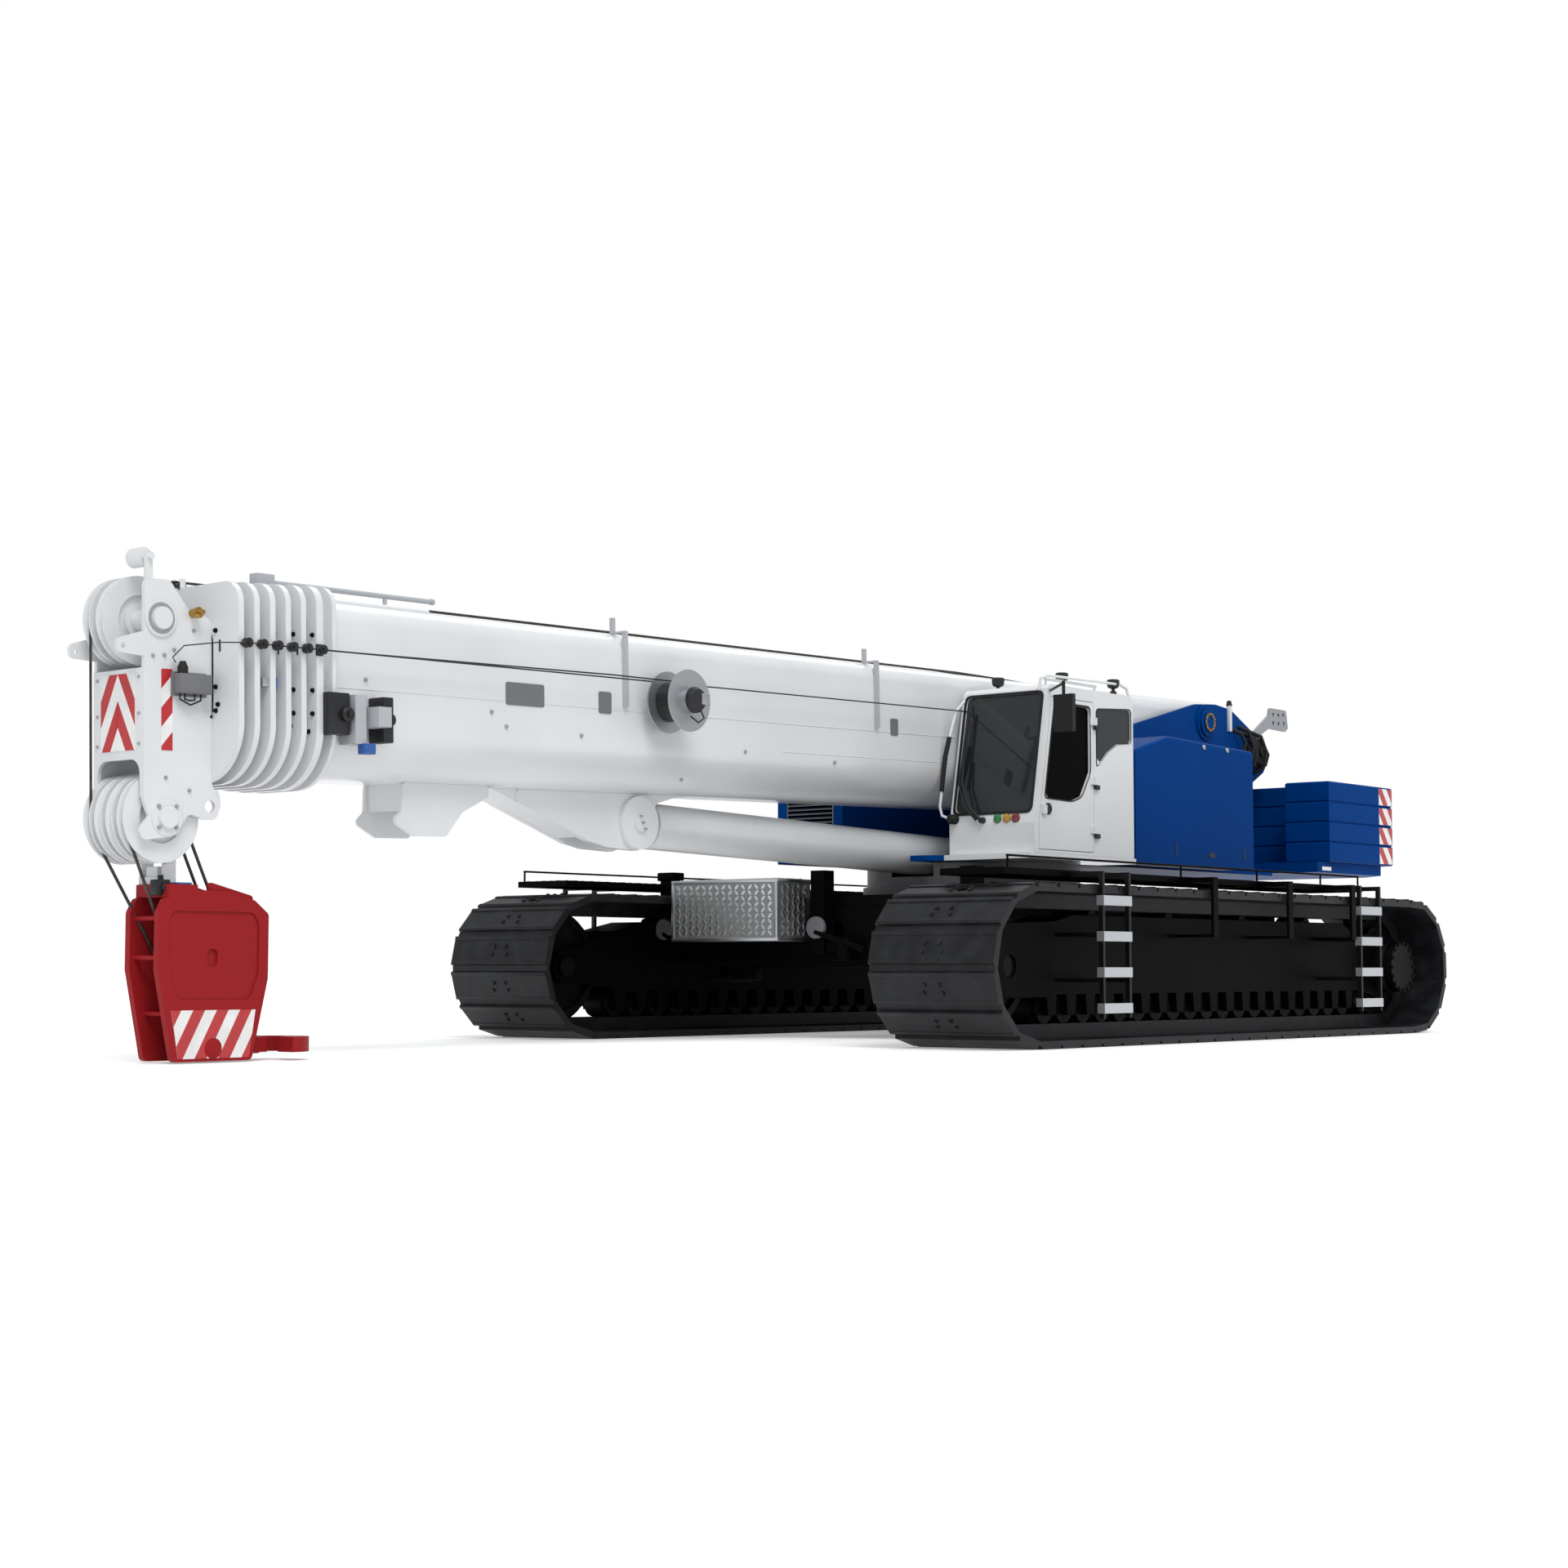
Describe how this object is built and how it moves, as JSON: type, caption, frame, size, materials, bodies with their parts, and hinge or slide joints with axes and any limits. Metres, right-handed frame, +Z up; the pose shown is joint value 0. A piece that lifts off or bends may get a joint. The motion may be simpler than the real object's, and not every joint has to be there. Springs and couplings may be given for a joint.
{
  "type": "telescopic crawler crane",
  "caption": "Telescopic boom crane on two crawlers, with a slewing upper, cab, counterweight, luffing cylinder and hook block.",
  "frame": {"origin": "on the ground under the middle of the overall length, on the crane's middle plane", "axes": "+X towards the boom's tip, +Y towards the cab's side, +Z up"},
  "size_m": [15.9422, 6.08, 3.5],
  "materials": {
    "undercarriage_paint": "satin",
    "track_steel": "rough",
    "ring_steel": "satin",
    "checker_plate": "rolled pattern",
    "blue_paint": "gloss",
    "grille_grey": "satin",
    "engine_iron": "rough",
    "white_paint": "gloss",
    "pin_steel": "satin",
    "chrome_rod": "polished",
    "winch_black": "satin",
    "cab_glazing": "tinted",
    "seat_fabric": "woven",
    "console_plastic": "moulded",
    "hook_red": "gloss"
  },
  "bodies": {
    "carbody": {"carbody": "undercarriage_paint", "slew_ring_lower": "ring_steel", "track_frame_l": "undercarriage_paint", "track_frame_r": "undercarriage_paint", "track_loop_l": "track_steel", "track_loop_r": "track_steel", "rollers_l": "track_steel", "rollers_r": "track_steel", "idler_l": "undercarriage_paint", "idler_r": "undercarriage_paint", "sprocket_l": "undercarriage_paint", "sprocket_r": "undercarriage_paint", "walkway_l": "undercarriage_paint", "walkway_r": "undercarriage_paint", "ladders_l": "undercarriage_paint", "ladders_r": "undercarriage_paint", "step_box": "checker_plate", "jack_posts": "undercarriage_paint"},
    "superstructure": {"slew_ring_upper": "ring_steel", "turntable_frame": "blue_paint", "luff_pin": "pin_steel", "boom_pin": "pin_steel", "house_left": "blue_paint", "hood_right": "blue_paint", "grille_right": "grille_grey", "engine": "engine_iron", "cab_deck": "blue_paint", "counterweight_tray": "blue_paint", "counterweight_slabs": "blue_paint", "rear_bracket": "grille_grey", "cab_shell": "white_paint", "cab_glass": "cab_glazing", "cab_rails": "white_paint", "door_hinges": "pin_steel", "operator_seat": "seat_fabric", "cab_console": "console_plastic"},
    "cab_door": {"cab_door": "white_paint", "door_glass": "cab_glazing"},
    "winch_drum": {"winch_drum": "winch_black"},
    "boom": {"boom_base": "white_paint", "luff_gusset": "white_paint", "rest_bracket": "white_paint", "cable_reel": "grille_grey", "rope_guides": "white_paint", "sensor_unit": "winch_black"},
    "tele_1": {"tele_1": "white_paint"},
    "tele_2": {"tele_2": "white_paint"},
    "tele_3": {"tele_3": "white_paint"},
    "tele_4": {"tele_4": "white_paint"},
    "tele_5": {"tele_5": "white_paint", "boom_head": "white_paint"},
    "sheaves_upper": {"sheaves_upper": "white_paint"},
    "sheaves_lower": {"sheaves_lower": "white_paint"},
    "hook_hanger": {"hook_hanger": "grille_grey"},
    "hook_block": {"hook_block": "hook_red", "block_sheaves": "hook_red"},
    "crane_hook": {"crane_hook": "hook_red"},
    "luff_barrel": {"luff_barrel": "white_paint"},
    "luff_rod": {"luff_rod": "chrome_rod"}
  },
  "joints": [
    {"name": "slew", "type": "hinge", "parent": "carbody", "child": "superstructure", "pos_m": [-2.072, 0, 1.5], "axis": [0, 0, 1], "continuous": true},
    {"name": "cab_door_hinge", "type": "hinge", "parent": "superstructure", "child": "cab_door", "pos_m": [-1.886, 1.507, 2.3], "axis": [0, 0, 1], "range_deg": [0, 95]},
    {"name": "winch_drum_spin", "type": "hinge", "parent": "superstructure", "child": "winch_drum", "pos_m": [-6.492, 0, 2.98], "axis": [0, 1, 0], "continuous": true},
    {"name": "boom_luff", "type": "hinge", "parent": "superstructure", "child": "boom", "pos_m": [-5.452, 0, 3.22], "axis": [0, -1, 0], "range_deg": [0, 83]},
    {"name": "telescope_1", "type": "slide", "parent": "boom", "child": "tele_1", "axis": [0.9997, 0, -0.0244], "range_m": [0, 9.38]},
    {"name": "telescope_2", "type": "slide", "parent": "tele_1", "child": "tele_2", "axis": [0.9997, 0, -0.0244], "range_m": [0, 9.38]},
    {"name": "telescope_3", "type": "slide", "parent": "tele_2", "child": "tele_3", "axis": [0.9997, 0, -0.0244], "range_m": [0, 9.38]},
    {"name": "telescope_4", "type": "slide", "parent": "tele_3", "child": "tele_4", "axis": [0.9997, 0, -0.0244], "range_m": [0, 9.38]},
    {"name": "telescope_5", "type": "slide", "parent": "tele_4", "child": "tele_5", "axis": [0.9997, 0, -0.0244], "range_m": [0, 9.38]},
    {"name": "upper_sheaves_spin", "type": "hinge", "parent": "tele_5", "child": "sheaves_upper", "pos_m": [7.63487, 0, 2.93217], "axis": [0, 1, 0], "continuous": true},
    {"name": "lower_sheaves_spin", "type": "hinge", "parent": "tele_5", "child": "sheaves_lower", "pos_m": [7.55783, 0, 1.62166], "axis": [0, 1, 0], "continuous": true},
    {"name": "hook_swing", "type": "hinge", "parent": "tele_5", "child": "hook_hanger", "pos_m": [7.55783, 0, 1.62166], "axis": [0, -1, 0], "range_deg": [-83, 0]},
    {"name": "hook_lower", "type": "slide", "parent": "hook_hanger", "child": "hook_block", "axis": [0.2, 0, -0.9798], "range_m": [0, 2.6]},
    {"name": "crane_hook_swing", "type": "hinge", "parent": "hook_block", "child": "crane_hook", "pos_m": [7.128, 0.06, 0.11], "axis": [0, -1, 0], "range_deg": [0, 90]},
    {"name": "luff_barrel_swing", "type": "hinge", "parent": "boom", "child": "luff_barrel", "pos_m": [2.87779, 0, 1.80006], "axis": [0, -1, 0], "range_deg": [0, 8.79]},
    {"name": "luff_rod_stroke", "type": "slide", "parent": "luff_barrel", "child": "luff_rod", "axis": [-0.9996, 0, -0.0271], "range_m": [0, 4.3249]}
  ],
  "couplings": [
    {"joint": "hook_swing", "follows": "boom_luff", "ratio": -1},
    {"joint": "hook_lower", "follows": "boom_luff", "m_per_rad": 1.7945},
    {"joint": "crane_hook_swing", "follows": "boom_luff", "ratio": 1.0842},
    {"joint": "luff_barrel_swing", "follows": "boom_luff", "ratio": 0.10528},
    {"joint": "luff_rod_stroke", "follows": "boom_luff", "m_per_rad": 2.9848}
  ]
}
